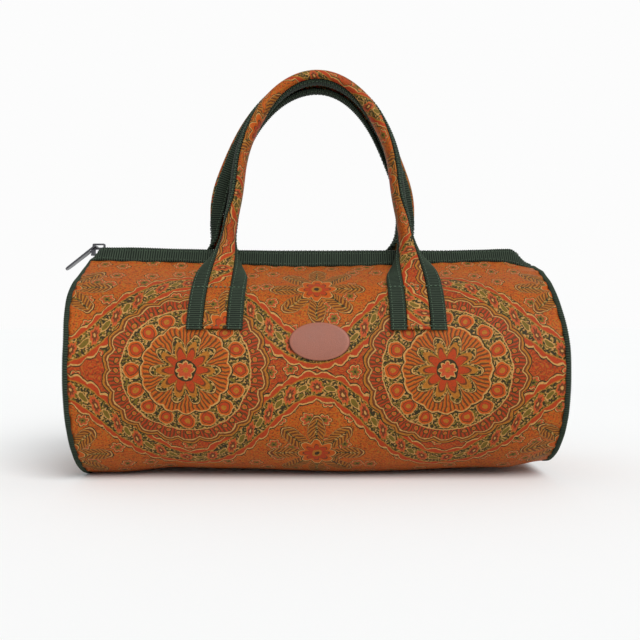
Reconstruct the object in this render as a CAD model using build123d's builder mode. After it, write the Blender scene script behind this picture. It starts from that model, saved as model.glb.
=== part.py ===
from build123d import *

import os
from math import asin, cos, degrees, pi, radians, sin, tan

os.makedirs("parts", exist_ok=True)

# Barrel-shaped boston bag. The origin is the middle of the base, +X runs along the bag,
# the front faces -Y and the zip ridge is at the top.

# Overall form of the stuffed bag
bag_length = 304.0
bag_depth = 150.0
ridge_height = 150.0
base_width = 32.0
belly_height = 70.0
roof_slope = 24.6

# Cloth and seams
cloth_thickness = 1.6
seam_gap = 0.1

# Bound end seams
end_binding_thickness = 3.4
end_binding_width = 6.0
end_peak_radius = 12.0

# Bound edges of the zip ridge
zip_mouth = 11.0
zip_band_width = 12.5
zip_band_thickness = 1.2
zip_band_lean = 62.0
closed_end_run = 6.0
closed_end_drop = 7.0
open_end_run = 13.0
open_end_drop = 9.0
band_corner_radius = 4.0

# Zip tapes and teeth
chain_depth = 2.0
zip_tape_thickness = 0.6
zip_tape_end_gap = 10.0
row_width = 2.6
tooth_overlap = 0.8
tooth_pitch = 3.0
tooth_length = 1.1
tooth_height = 2.2
stop_length = 2.0
stop_height = 2.0

# Slider of the zip, with its bail
slider_length = 11.4
slider_overhang = 3.7
slider_width = 8.0
slider_nose_width = 4.4
slider_tail_width = 7.0
slider_nose_length = 3.6
slider_shoulder_length = 6.0
slider_plate_thickness = 1.2
slider_channel = 3.0
slider_flange_thickness = 0.7
slider_flange_gap = 1.0
slider_post_width = 1.6
slider_post_length = 3.0
slider_corner_radius = 0.8
bail_width = 2.2
bail_thickness = 1.1
bail_height = 3.0
bail_length = 8.6
bail_setback = 0.9
bail_corner_radius = 1.0

# Puller that swings in the bail
puller_length = 26.0
puller_width = 8.0
puller_end_width = 6.4
puller_thickness = 1.2
puller_bar_radius = 0.75
puller_bar_gap = 0.2
puller_window_length = 5.4
puller_window_width = 5.4
puller_droop = 38.0

# Handle straps, flat at the tabs and curled into a grip above
strap_width = 34.0
strap_thickness = 1.8
strap_binding_width = 10.0
strap_binding_thickness = 2.4
strap_seam_gap = 0.3
tab_offset = 61.5
tab_gap = 0.4
tab_foot_drop = 44.0
tab_stitch_drop = 18.0
grip_start_rise = 8.0
grip_top_rise = 116.0
grip_foot_setback = 22.0
grip_top_setback = 14.5
front_grip_half_span = 59.5
back_grip_half_span = 64.5
back_grip_shift = 3.5
grip_closed_share = 0.93
tab_flat_share = 0.02
tab_steps = 4
neck_steps = 7
neck_curl_power = 1.75
neck_rise_share = 0.9
grip_half_steps = 8
print_chords = 3
binding_chords = 3

# Oval leather patch on the front
patch_length = 36.6
patch_height = 22.8
patch_thickness = 2.0
patch_middle_height = 88.0
patch_offset = 1.8

# Places that follow from the sizes above
half_depth = bag_depth / 2
base_half = base_width / 2
half_length = bag_length / 2
body_half = half_length - end_binding_thickness
lean = radians(zip_band_lean)
seam_y = zip_mouth / 2 + zip_band_width * cos(lean)
seam_z = ridge_height - zip_band_width * sin(lean)
roof_turn = radians(90 - roof_slope)
roof_normal = (cos(roof_turn), sin(roof_turn))
roof_run = (-sin(roof_turn), cos(roof_turn))
roof_rise = roof_normal[0] * (seam_y - half_depth) + roof_normal[1] * (seam_z - belly_height)
shoulder_radius = roof_rise / (1 - roof_normal[0])
shoulder_y = half_depth - shoulder_radius
chain_z = ridge_height - chain_depth
slider_foot_z = chain_z - slider_channel / 2 - slider_plate_thickness
roof_apex_z = seam_z + seam_y * roof_normal[0] / roof_normal[1]
clear_radius = (roof_apex_z - slider_foot_z + seam_gap) * roof_normal[1] / (1 - roof_normal[1])
peak_radius = max(end_peak_radius, clear_radius)
peak_z = roof_apex_z - peak_radius / roof_normal[1]
tab_foot_height = seam_z - tab_foot_drop
tab_stitch_height = seam_z - tab_stitch_drop
grip_start_height = ridge_height + grip_start_rise
grip_top_height = ridge_height + grip_top_rise
slider_nose_x = -half_length - slider_overhang
slider_tail_x = slider_nose_x + slider_length
plate_low_z = chain_z + slider_channel / 2
plate_top_z = plate_low_z + slider_plate_thickness
bail_inner_x = slider_nose_x + bail_setback + bail_thickness
bar_x = bail_inner_x + puller_bar_gap + puller_bar_radius
bar_z = plate_top_z + puller_bar_gap + puller_bar_radius


def seam_edge(inset):
    """Top edge of the cloth at the zip seam, moved in from the bag's surface, for the +Y side."""
    return (seam_y - inset * roof_normal[0], seam_z - inset * roof_normal[1])


def flank(side, inset, top):
    """Draws one side of the bag's section: roof, shoulder and belly, from its top point to the base."""
    radius = shoulder_radius - inset
    shoulder = (
        shoulder_y + radius * roof_normal[0],
        belly_height + radius * roof_normal[1],
    )
    turn = degrees(roof_turn)
    Line((side * top[0], top[1]), (side * shoulder[0], shoulder[1]))
    CenterArc(
        (side * shoulder_y, belly_height), radius, 0 if side > 0 else 180, arc_size=side * turn
    )
    EllipticalCenterArc(
        (side * base_half, belly_height),
        half_depth - base_half - inset,
        belly_height - inset,
        270 if side > 0 else 180,
        arc_size=90,
    )


def closed_girth(inset):
    """Draws the whole section of the bag, with a rounded peak under the zip."""
    radius = peak_radius - inset
    peak_edge = (radius * roof_normal[0], peak_z + radius * roof_normal[1])
    turn = degrees(roof_turn)
    for side in (-1, 1):
        flank(side, inset, peak_edge)
    CenterArc((0, peak_z), radius, turn, arc_size=180 - 2 * turn)
    Line((-base_half, inset), (base_half, inset))


def girth_place(height, offset):
    """Point and outward normal on the bag's front flank above the belly, for the +Y side."""
    shoulder_top = belly_height + shoulder_radius * roof_normal[1]
    if height < shoulder_top:
        turn = asin((height - belly_height) / shoulder_radius)
        reach = shoulder_radius + offset
        normal = (cos(turn), sin(turn))
        return (shoulder_y + reach * normal[0], belly_height + reach * normal[1]), normal
    step = (seam_z - height) / roof_run[1]
    point = (
        seam_y - step * roof_run[0] + offset * roof_normal[0],
        seam_z - step * roof_run[1] + offset * roof_normal[1],
    )
    return point, roof_normal


# Body panel: one cloth that runs from the front zip seam round the base to the back one
with BuildPart() as body_panel:
    with BuildSketch(Plane.YZ.offset(-body_half)):
        with BuildLine():
            for inset in (0, cloth_thickness):
                for side in (-1, 1):
                    flank(side, inset, seam_edge(inset))
                Line((-base_half, inset), (base_half, inset))
            for side in (-1, 1):
                outer_edge = seam_edge(0)
                inner_edge = seam_edge(cloth_thickness)
                Line((side * outer_edge[0], outer_edge[1]), (side * inner_edge[0], inner_edge[1]))
        make_face()
    extrude(amount=2 * body_half)
body_panel.part.label = "body_panel"

# End panels, set inside the ends of the body cloth
with BuildPart() as right_end_panel:
    with BuildSketch(Plane.YZ.offset(body_half - cloth_thickness)):
        with BuildLine():
            closed_girth(cloth_thickness + seam_gap)
        make_face()
    extrude(amount=cloth_thickness)
right_end_panel.part.label = "right_end_panel"

with BuildPart() as left_end_panel:
    mirror(right_end_panel.part, about=Plane.YZ)
left_end_panel.part.label = "left_end_panel"

# End bindings: folded tape round each end seam
with BuildPart() as right_end_binding:
    with BuildSketch(Plane.YZ.offset(body_half)):
        with BuildLine():
            closed_girth(0)
        make_face()
        with BuildLine():
            closed_girth(end_binding_width)
        make_face(mode=Mode.SUBTRACT)
    extrude(amount=end_binding_thickness)
right_end_binding.part.label = "right_end_binding"

with BuildPart() as left_end_binding:
    mirror(right_end_binding.part, about=Plane.YZ)
left_end_binding.part.label = "left_end_binding"

# Zip bindings: the steep bands that make the ridge, cut down to the end seams at both ends
band_end = body_half - seam_gap
front_band_plane = Plane(
    origin=(0, -seam_y, seam_z), x_dir=(1, 0, 0), z_dir=(0, -sin(lean), cos(lean))
)
with BuildPart() as front_zip_binding:
    with BuildSketch(front_band_plane):
        with BuildLine():
            Polyline(
                (-band_end, 0),
                (band_end, 0),
                (band_end, zip_band_width - open_end_drop),
                (band_end - open_end_run, zip_band_width),
                (closed_end_run - band_end, zip_band_width),
                (-band_end, zip_band_width - closed_end_drop),
                close=True,
            )
        band_face = make_face()
        top_corners = band_face.vertices().group_by(Axis.Y)[-1]
        fillet(top_corners, band_corner_radius)
    extrude(amount=zip_band_thickness)
front_zip_binding.part.label = "front_zip_binding"

with BuildPart() as back_zip_binding:
    mirror(front_zip_binding.part, about=Plane.XZ)
back_zip_binding.part.label = "back_zip_binding"

# Zip tapes: flat beside the teeth, then folded down inside the bands
tape_top_z = chain_z + zip_tape_thickness / 2
tape_low_z = chain_z - zip_tape_thickness / 2
tape_inner = zip_tape_thickness + seam_gap


def band_inside(height, depth):
    """Distance from the middle plane to a line inside the band's inner face, at a height."""
    return seam_y - (height - seam_z) / tan(lean) - depth / sin(lean)


tape_foot_z = seam_z + zip_tape_thickness
with BuildPart() as front_zip_tape:
    with BuildSketch(Plane.YZ.offset(-band_end)):
        with BuildLine():
            Polyline(
                (-row_width, tape_low_z),
                (-row_width, tape_top_z),
                (-band_inside(tape_top_z, seam_gap), tape_top_z),
                (-band_inside(tape_foot_z, seam_gap), tape_foot_z),
                (-band_inside(tape_foot_z, tape_inner), tape_foot_z),
                (-band_inside(tape_low_z, tape_inner), tape_low_z),
                close=True,
            )
        make_face()
    extrude(amount=2 * band_end - zip_tape_end_gap)
front_zip_tape.part.label = "front_zip_tape"

with BuildPart() as back_zip_tape:
    mirror(front_zip_tape.part, about=Plane.XZ)
back_zip_tape.part.label = "back_zip_tape"

# Zip teeth: two rows that mesh along the middle of the ridge
stop_x = band_end - zip_tape_end_gap - stop_length
chain_start_x = stop_length - band_end
tooth_count = int((stop_x - chain_start_x) / tooth_pitch)
chain_middle_x = chain_start_x + tooth_count * tooth_pitch / 2


def tooth_row(side, shift):
    """Draws one row of teeth, from the tape's edge to just past the middle plane."""
    with GridLocations(tooth_pitch, 0, tooth_count, 1):
        with Locations((shift, side * (row_width - tooth_overlap) / 2)):
            Rectangle(tooth_length, row_width + tooth_overlap)


tooth_plane = Plane.XY.offset(chain_z - tooth_height / 2).move(Location((chain_middle_x, 0, 0)))
with BuildPart() as front_zip_teeth:
    with BuildSketch(tooth_plane):
        tooth_row(-1, -tooth_pitch / 4)
    extrude(amount=tooth_height)
front_zip_teeth.part.label = "front_zip_teeth"

with BuildPart() as back_zip_teeth:
    with BuildSketch(tooth_plane):
        tooth_row(1, tooth_pitch / 4)
    extrude(amount=tooth_height)
back_zip_teeth.part.label = "back_zip_teeth"

# Stops: one on each tape at the closed end, and one across both rows at the far end
top_stop_width = row_width - slider_post_width / 2 - seam_gap
with BuildPart() as zip_top_stops:
    with BuildSketch(Plane.XY.offset(chain_z - stop_height / 2)):
        for side in (-1, 1):
            with Locations((stop_length / 2 - band_end, side * (row_width - top_stop_width / 2))):
                Rectangle(stop_length, top_stop_width)
    extrude(amount=stop_height)
zip_top_stops.part.label = "zip_top_stops"

with BuildPart() as zip_bottom_stop:
    with BuildSketch(Plane.XY.offset(chain_z - stop_height / 2)):
        with Locations((stop_x + stop_length / 2, 0)):
            Rectangle(stop_length, 2 * row_width)
    extrude(amount=stop_height)
zip_bottom_stop.part.label = "zip_bottom_stop"

# Slider: two plates joined by the dividing post, turned-in flanges and a bail on top
slider_middle = slider_nose_x + slider_shoulder_length
flange_height = (slider_channel - slider_flange_gap) / 2


slider_half_outline = [
    (slider_nose_x, slider_nose_width / 2),
    (slider_nose_x + slider_nose_length, slider_nose_width / 2),
    (slider_middle, slider_width / 2),
    (slider_tail_x, slider_tail_width / 2),
]
slider_outline = slider_half_outline + [(x, -y) for x, y in reversed(slider_half_outline)]


def flange_outline(side):
    """Plan of one turned-in flange, from the slider's shoulder to its tail."""
    tail_edge = side * slider_tail_width / 2
    middle_edge = side * slider_width / 2
    wall = side * slider_flange_thickness
    flange_end = slider_tail_x - slider_corner_radius
    return [
        (slider_middle, middle_edge),
        (flange_end, tail_edge),
        (flange_end, tail_edge - wall),
        (slider_middle, middle_edge - wall),
    ]


with BuildPart() as zip_slider:
    for plate_z in (plate_low_z, chain_z - slider_channel / 2 - slider_plate_thickness):
        with BuildSketch(Plane.XY.offset(plate_z)):
            with BuildLine():
                Polyline(*slider_outline, close=True)
            plate = make_face()
            plate_ends = plate.vertices().group_by(Axis.X)
            fillet(plate_ends[0] + plate_ends[-1], slider_corner_radius)
        extrude(amount=slider_plate_thickness)
    for flange_z in (chain_z + slider_flange_gap / 2, chain_z - slider_channel / 2):
        with BuildSketch(Plane.XY.offset(flange_z)):
            for side in (-1, 1):
                with BuildLine():
                    Polyline(*flange_outline(side), close=True)
                make_face()
        extrude(amount=flange_height)
    with BuildSketch(Plane.XY.offset(chain_z - slider_channel / 2)):
        with BuildLine():
            Polyline(
                (slider_nose_x, -slider_post_width / 2),
                (slider_nose_x + slider_post_length, 0),
                (slider_nose_x, slider_post_width / 2),
                close=True,
            )
        make_face()
    extrude(amount=slider_channel)
    bail_x = slider_nose_x + bail_setback
    with BuildSketch(Plane.XZ.offset(-bail_width / 2)):
        with BuildLine():
            Polyline(
                (bail_x, plate_top_z),
                (bail_x, plate_top_z + bail_height),
                (bail_x + bail_length, plate_top_z + bail_height),
                (bail_x + bail_length, plate_top_z),
                close=True,
            )
        bail_face = make_face()
        fillet(bail_face.vertices().group_by(Axis.Y)[-1], bail_corner_radius)
        with BuildLine():
            Polyline(
                (bail_inner_x, plate_top_z),
                (bail_inner_x, plate_top_z + bail_height - bail_thickness),
                (bail_x + bail_length - bail_thickness, plate_top_z + bail_height - bail_thickness),
                (bail_x + bail_length - bail_thickness, plate_top_z),
                close=True,
            )
        make_face(mode=Mode.SUBTRACT)
    extrude(amount=bail_width)
zip_slider.part.label = "zip_slider"

# Puller: a plate with a round bar in the bail, drooping over the end of the bag
droop = radians(puller_droop)
puller_plane = Plane(
    origin=(bar_x, 0, bar_z),
    x_dir=(-cos(droop), 0, -sin(droop)),
    z_dir=(-sin(droop), 0, cos(droop)),
)
with BuildPart() as pull_tab:
    with BuildSketch(puller_plane.offset(-puller_thickness / 2)):
        with BuildLine():
            Polyline(
                (0, -puller_width / 2),
                (puller_length - puller_end_width / 2, -puller_end_width / 2),
                (puller_length - puller_end_width / 2, puller_end_width / 2),
                (0, puller_width / 2),
                close=True,
            )
        make_face()
        with Locations((puller_length - puller_end_width / 2, 0)):
            Circle(puller_end_width / 2)
        with Locations((puller_window_length / 2, 0)):
            Rectangle(puller_window_length, puller_window_width, mode=Mode.SUBTRACT)
    extrude(amount=puller_thickness)
    with BuildSketch(Plane.XZ.offset(-puller_width / 2)):
        with Locations((bar_x, bar_z)):
            Circle(puller_bar_radius)
    extrude(amount=puller_width)
pull_tab.part.label = "pull_tab"

# Handles: each strap runs up from a sewn tab, curls into a grip and comes down to the other tab
flat_curve = tab_flat_share / strap_width
grip_curve = 2 * pi * grip_closed_share / strap_width
strap_lift = tab_gap + strap_binding_thickness / 2


def neck_point(share, foot, rise, top, top_rise):
    """Point at a share of the smooth curve from the tab's stitch line to the foot of the grip."""
    rest = 1 - share
    weights = (
        rest * rest * (1 + 2 * share),
        rest * rest * share,
        share * share * (3 - 2 * share),
        -share * share * rest,
    )
    return sum(
        (part * weight for part, weight in zip((foot, rise, top, top_rise), weights)), Vector(0, 0, 0)
    )


def half_route(half_span):
    """Points up the left half of a front strap, with the strap's curl and facing at each point."""
    left = []
    for step in range(tab_steps + 1):
        height = tab_foot_height + (tab_stitch_height - tab_foot_height) * step / tab_steps
        place, normal = girth_place(height, strap_lift)
        facing = Vector(0, -normal[0], normal[1])
        left.append((Vector(-tab_offset, -place[0], place[1]), 0, facing))
    foot = left[-1][0]
    top = Vector(-half_span, -grip_foot_setback, grip_start_height)
    rise = (top - foot) * neck_rise_share
    top_rise = Vector(0, 0, rise.length)
    for step in range(1, neck_steps):
        share = step / neck_steps
        point = neck_point(share, foot, rise, top, top_rise)
        facing = left[tab_steps][2] * (1 - share) + Vector(0, -share, 0)
        left.append((point, share**neck_curl_power, facing))
    for step in range(grip_half_steps + 1):
        turn = pi / 2 * step / grip_half_steps
        setback = grip_foot_setback + (grip_top_setback - grip_foot_setback) * sin(turn)
        height = grip_start_height + (grip_top_height - grip_start_height) * sin(turn)
        left.append((Vector(-half_span * cos(turn), -setback, height), 1, Vector(0, -1, 0)))
    return left


def handle_route(half_span, shift):
    """Points along a whole front strap, whose grip leans to the left by a shift at its top."""
    left = half_route(half_span + shift)
    right = half_route(half_span - shift)
    right = [(Vector(-point.X, point.Y, point.Z), curl, facing) for point, curl, facing in right]
    return left + right[-2::-1]


def strap_planes(half_span, shift):
    """Planes across a strap, with X over its width and Y into its curl, and the curve at each."""
    route = handle_route(half_span, shift)
    planes = []
    for index, (point, curl, facing) in enumerate(route):
        before = route[max(index - 1, 0)][0]
        after = route[min(index + 1, len(route) - 1)][0]
        along = (after - before).normalized()
        across = along.cross(facing).normalized()
        plane = Plane(origin=point, x_dir=across, z_dir=along)
        planes.append((plane, flat_curve + curl * (grip_curve - flat_curve)))
    return planes


def strip_section(plane, curve, start, end, thickness, chords):
    """Corners of the section of a strip of the strap between two distances across it."""
    radius = 1 / curve
    places = [start + (end - start) * step / chords for step in range(chords + 1)]

    def edge_point(distance, depth):
        turn = distance * curve
        across = (radius + depth) * sin(turn)
        inward = radius - (radius + depth) * cos(turn)
        return plane.from_local_coords(Vector(across, inward, 0))

    outer = [edge_point(place, thickness / 2) for place in places]
    inner = [edge_point(place, -thickness / 2) for place in reversed(places)]
    return outer + inner


def facet(*corners):
    """One flat face with these corners."""
    return Face(Wire.make_polygon(corners))


def folded_strip(sections):
    """Solid of a strip that bends from section to section, with flat facets between them."""
    facets = [facet(*sections[0]), facet(*sections[-1])]
    for near, far in zip(sections, sections[1:]):
        for corner in range(len(near)):
            near_edge = (near[corner - 1], near[corner])
            far_edge = (far[corner - 1], far[corner])
            facets.append(facet(near_edge[0], near_edge[1], far_edge[1]))
            facets.append(facet(near_edge[0], far_edge[1], far_edge[0]))
    return Solid(Shell(facets))


print_half = strap_width / 2 - strap_binding_width
strips = {
    "strap": (-print_half, print_half, strap_thickness, print_chords),
    "inner_binding": (
        print_half + strap_seam_gap,
        strap_width / 2,
        strap_binding_thickness,
        binding_chords,
    ),
    "outer_binding": (
        -strap_width / 2,
        -print_half - strap_seam_gap,
        strap_binding_thickness,
        binding_chords,
    ),
}
grip_places = {
    "front": (front_grip_half_span, 0),
    "back": (back_grip_half_span, back_grip_shift),
}
for strip_name, strip in strips.items():
    for handle_name, grip_place in grip_places.items():
        with BuildPart() as front_strip:
            sections = [strip_section(plane, curve, *strip) for plane, curve in strap_planes(*grip_place)]
            add(folded_strip(sections))
        with BuildPart() as handle_strip:
            if handle_name == "front":
                add(front_strip.part)
            else:
                mirror(front_strip.part, about=Plane.XZ)
        label = f"{handle_name}_handle_{strip_name}"
        handle_strip.part.label = label
        export_step(handle_strip.part, f"parts/{label}.step")

# Leather patch: an oval that follows the curve of the front
with BuildPart() as leather_patch:
    with BuildSketch(Plane.YZ.offset(patch_offset - patch_length / 2)):
        with BuildLine():
            closed_girth(-patch_thickness - seam_gap)
        make_face()
        with BuildLine():
            closed_girth(-seam_gap)
        make_face(mode=Mode.SUBTRACT)
    extrude(amount=patch_length)
    with BuildSketch(Plane.XZ):
        with Locations((patch_offset, patch_middle_height)):
            Ellipse(patch_length / 2, patch_height / 2)
    extrude(amount=bag_depth, mode=Mode.INTERSECT)
leather_patch.part.label = "leather_patch"

for piece in (
    body_panel,
    left_end_panel,
    right_end_panel,
    left_end_binding,
    right_end_binding,
    front_zip_binding,
    back_zip_binding,
    front_zip_tape,
    back_zip_tape,
    front_zip_teeth,
    back_zip_teeth,
    zip_top_stops,
    zip_bottom_stop,
    zip_slider,
    pull_tab,
    leather_patch,
):
    export_step(piece.part, f"parts/{piece.part.label}.step")
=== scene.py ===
"""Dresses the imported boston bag: printed cloth, ribbed tape, zip, strap handles and a leather patch."""

from math import cos, pi, radians, sin

import bmesh
import bpy
import numpy as np
from bpy.props import FloatProperty, FloatVectorProperty, PointerProperty
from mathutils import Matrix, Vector


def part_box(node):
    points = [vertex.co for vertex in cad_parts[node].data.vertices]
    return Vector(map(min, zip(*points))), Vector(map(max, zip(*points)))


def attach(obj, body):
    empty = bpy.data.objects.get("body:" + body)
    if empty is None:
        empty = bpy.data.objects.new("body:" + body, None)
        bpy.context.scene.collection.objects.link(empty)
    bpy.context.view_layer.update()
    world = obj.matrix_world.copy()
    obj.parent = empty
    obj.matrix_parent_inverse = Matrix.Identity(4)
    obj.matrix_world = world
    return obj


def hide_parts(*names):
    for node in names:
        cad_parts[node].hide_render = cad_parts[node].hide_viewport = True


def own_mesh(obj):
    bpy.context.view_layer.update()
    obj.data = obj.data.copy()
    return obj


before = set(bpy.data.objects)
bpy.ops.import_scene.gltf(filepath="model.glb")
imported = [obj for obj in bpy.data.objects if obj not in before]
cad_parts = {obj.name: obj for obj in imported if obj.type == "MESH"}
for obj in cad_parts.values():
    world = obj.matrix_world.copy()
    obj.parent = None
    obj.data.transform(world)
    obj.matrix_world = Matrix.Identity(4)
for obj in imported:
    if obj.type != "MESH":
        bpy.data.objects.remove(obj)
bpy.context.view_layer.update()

bl_info = {
    "name": "Boston bag",
    "version": (1, 0, 0),
    "blender": (4, 5, 0),
    "location": "3D View > Sidebar > Bag",
    "description": "Dresses the packed boston bag with cloth, ribbed tape, a zip and handles",
    "category": "Object",
}

MM = 0.001
weld = 1e-6  # points closer than this, in metres, are one


def node_corner(node):
    """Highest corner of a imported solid, in millimetres."""
    return [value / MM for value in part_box(node)[1]]


# Section of the stuffed bag, in millimetres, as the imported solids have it
body_half, half_depth, seam_z = node_corner("body_panel")
half_length, _, peak_top = node_corner("right_end_binding")
base_half = 16.0
belly_height = 70.0
roof_turn = radians(90 - 24.6)
peak_radius = 12.0
zip_mouth = 11.0
band_width = 12.5
band_thickness = 1.2
band_lean = radians(62.0)
seam_y = zip_mouth / 2 + band_width * cos(band_lean)
ridge_height = seam_z + band_width * sin(band_lean)
roof_rise = cos(roof_turn) * (seam_y - half_depth) + sin(roof_turn) * (seam_z - belly_height)
shoulder_radius = roof_rise / (1 - cos(roof_turn))
shoulder_y = half_depth - shoulder_radius
peak_z = peak_top - peak_radius

# Ends of the zip bands, and the chain of the zip
closed_run, closed_drop = 6.0, 7.0
open_run, open_drop = 13.0, 2.5
chain_z = ridge_height - 2.0
tape_thickness = 0.6
row_width = 2.6
tooth_pitch = 3.0
tooth_size = (1.1, 3.4, 2.2)

# Strap handles: flat at the tabs, curled above
strap_half = 17.0
print_half = 7.0
strap_gap = 0.3
print_thickness = 1.8
binding_thickness = 2.4
tab_offset = 61.5
tab_lift = 1.6
foot_height = seam_z - 44.0
stitch_height = seam_z - 18.0
grip_start = ridge_height + 8.0
grip_top = ridge_height + 116.0
foot_setback = 22.0
top_setback = 14.5
grip_places = {
    "front": dict(
        face=-1, half_span=59.5, shift=0.0, bow=3.2, leg_lean=66, narrow=0.68, opening=1.75, foot_lean=0.25
    ),
    "back": dict(
        face=1, half_span=64.5, shift=3.5, bow=-3.0, leg_lean=-64, narrow=0.94, opening=5.0, foot_lean=0.0
    ),
}
closed_share = 0.93
grip_radius = strap_half / (closed_share * pi)
grip_curve = 1 / grip_radius
flat_curve = 0.01 / strap_half
thread_inset = 1.5

# Oval patch, and where the repeat of the print lies on the cloth
patch_half = (18.3, 11.4)
patch_middle = (1.8, 88.0)
print_column, print_row = 156.0, 234.0
medallion_down, rosette_down = 100.0, 41.5
strap_print_down = 152.0


class ClothSettings(bpy.types.PropertyGroup):
    """Printed cloth and lining."""

    thickness: FloatProperty(
        name="Thickness", description="Thickness of the cloth", default=0.0016, unit="LENGTH"
    )
    bulge: FloatProperty(
        name="End bulge", description="How far the stuffed ends stand out", default=0.004, unit="LENGTH"
    )
    ground: FloatVectorProperty(
        name="Ground", description="Orange ground of the print", subtype="COLOR", default=(0.445, 0.082, 0.009)
    )
    rust: FloatVectorProperty(
        name="Rust", description="Red of the inner fields", subtype="COLOR", default=(0.37, 0.043, 0.010)
    )
    ochre: FloatVectorProperty(
        name="Ochre", description="Ochre of the petals", subtype="COLOR", default=(0.36, 0.130, 0.016)
    )
    cream: FloatVectorProperty(
        name="Cream", description="Cream of the fine lines", subtype="COLOR", default=(0.49, 0.255, 0.075)
    )
    coral: FloatVectorProperty(
        name="Coral", description="Coral of the small flowers", subtype="COLOR", default=(0.44, 0.070, 0.022)
    )
    brown: FloatVectorProperty(
        name="Brown", description="Brown of the bands", subtype="COLOR", default=(0.125, 0.038, 0.011)
    )
    olive: FloatVectorProperty(
        name="Olive", description="Olive of the leaves", subtype="COLOR", default=(0.145, 0.098, 0.014)
    )
    dark: FloatVectorProperty(
        name="Dark", description="Dark outline of the motifs", subtype="COLOR", default=(0.030, 0.025, 0.010)
    )
    lining: FloatVectorProperty(
        name="Lining", description="Cloth inside the bag", subtype="COLOR", default=(0.03, 0.028, 0.022)
    )


class TapeSettings(bpy.types.PropertyGroup):
    """Ribbed tape and the stitches on it."""

    rib_pitch: FloatProperty(
        name="Rib pitch", description="Distance between ribs", default=0.0015, unit="LENGTH"
    )
    rib_depth: FloatProperty(
        name="Rib depth", description="Height of a rib", default=0.00028, unit="LENGTH"
    )
    stitch_pitch: FloatProperty(
        name="Stitch pitch", description="Distance between stitches", default=0.0027, unit="LENGTH"
    )
    stitch_length: FloatProperty(
        name="Stitch length", description="Length of one stitch", default=0.0019, unit="LENGTH"
    )
    stitch_width: FloatProperty(
        name="Stitch width", description="Thickness of the thread", default=0.00042, unit="LENGTH"
    )
    crest: FloatVectorProperty(
        name="Crest", description="Colour on top of the ribs", subtype="COLOR", default=(0.046, 0.066, 0.043)
    )
    # Painted shade between the ribs: the valleys are coloured nearly black to stand in for their shadow
    valley_shade: FloatVectorProperty(
        name="Valley", description="Colour between the ribs", subtype="COLOR", default=(0.003, 0.006, 0.004)
    )
    thread: FloatVectorProperty(
        name="Thread", description="Colour of the stitches", subtype="COLOR", default=(0.085, 0.135, 0.085)
    )


class FittingSettings(bpy.types.PropertyGroup):
    """Metal of the zip and leather of the patch."""

    edge_radius: FloatProperty(
        name="Edge radius", description="Rounding of the metal edges", default=0.00022, unit="LENGTH"
    )
    metal: FloatVectorProperty(
        name="Metal", description="Nickel of the slider and puller", subtype="COLOR",
        default=(0.095, 0.095, 0.103),
    )
    teeth: FloatVectorProperty(
        name="Teeth", description="Metal of the teeth", subtype="COLOR", default=(0.30, 0.29, 0.28)
    )
    zip_cloth: FloatVectorProperty(
        name="Zip cloth", description="Tape beside the teeth", subtype="COLOR", default=(0.012, 0.022, 0.017)
    )
    leather: FloatVectorProperty(
        name="Leather", description="Leather of the patch", subtype="COLOR", default=(0.292, 0.104, 0.068)
    )


class StageSettings(bpy.types.PropertyGroup):
    """Camera, lights and floor."""

    eye: FloatVectorProperty(
        name="Eye", description="Place of the camera", subtype="XYZ", unit="LENGTH",
        default=(0.002, -0.545, 0.101),
    )
    lens: FloatProperty(name="Lens", description="Focal length in millimetres", default=44.4)
    key: FloatProperty(name="Key", description="Strength of the soft sun", default=2.4)
    fill: FloatProperty(name="Fill", description="Strength of the white surroundings", default=0.55)


class BagSettings(bpy.types.PropertyGroup):
    """All settings of the bag."""

    cloth: PointerProperty(type=ClothSettings)
    tape: PointerProperty(type=TapeSettings)
    fittings: PointerProperty(type=FittingSettings)
    stage: PointerProperty(type=StageSettings)


def settings():
    """The bag's settings in the open scene."""
    return bpy.context.scene.boston_bag


class Section:
    """A line in the bag's section, read by the distance along it, with its outward normals."""

    def __init__(self, points, closed=False, step=0.8):
        points = np.array(points)
        runs = np.linalg.norm(np.diff(points, axis=0), axis=1)
        lengths = np.concatenate([[0], np.cumsum(runs)])
        self.length = lengths[-1]
        self.at = np.linspace(0, self.length, int(self.length / step) + 1)
        self.line = [np.interp(self.at, lengths, points[:, axis]) for axis in (0, 1)]
        pad = 1 if closed else 0
        slopes = []
        for values in self.line:
            if closed:
                values = np.concatenate([[values[-2]], values, [values[1]]])
            slope = np.gradient(values)
            slopes.append(slope[pad : len(slope) - pad])
        size = np.hypot(*slopes)
        self.normals = [slopes[1] / size, -slopes[0] / size]

    def read(self, distance):
        """Places (y, z) and outward normals at distances along the line."""
        return [[np.interp(distance, self.at, values) for values in pair] for pair in (self.line, self.normals)]

    def at_height(self, height):
        """Distance along the front, from the seam, at which the line has a height."""
        half = len(self.at) // 2
        return np.interp(-np.asarray(height), -self.line[1][:half], self.at[:half])


def both_sides(flank):
    """The whole section, from the top of the front round the base to the top of the back."""
    return [(-y, z) for y, z in flank] + flank[-2::-1]


def flank_points(top):
    """Points of one side of the section, from its top down to the middle of the base."""
    shoulder = [
        (shoulder_y + shoulder_radius * cos(turn), belly_height + shoulder_radius * sin(turn))
        for turn in np.linspace(roof_turn, 0, 40)
    ]
    belly = [
        (base_half + (half_depth - base_half) * cos(turn), belly_height + belly_height * sin(turn))
        for turn in np.linspace(0, -pi / 2, 80)[1:]
    ]
    return top + shoulder + belly + [(0, 0)]


peak_arc = [
    (peak_radius * cos(turn), peak_z + peak_radius * sin(turn)) for turn in np.linspace(pi / 2, roof_turn, 12)
]
body_girth = Section(both_sides(flank_points([(seam_y, seam_z)])))
end_girth = Section(both_sides(flank_points(peak_arc)), closed=True)


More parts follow.
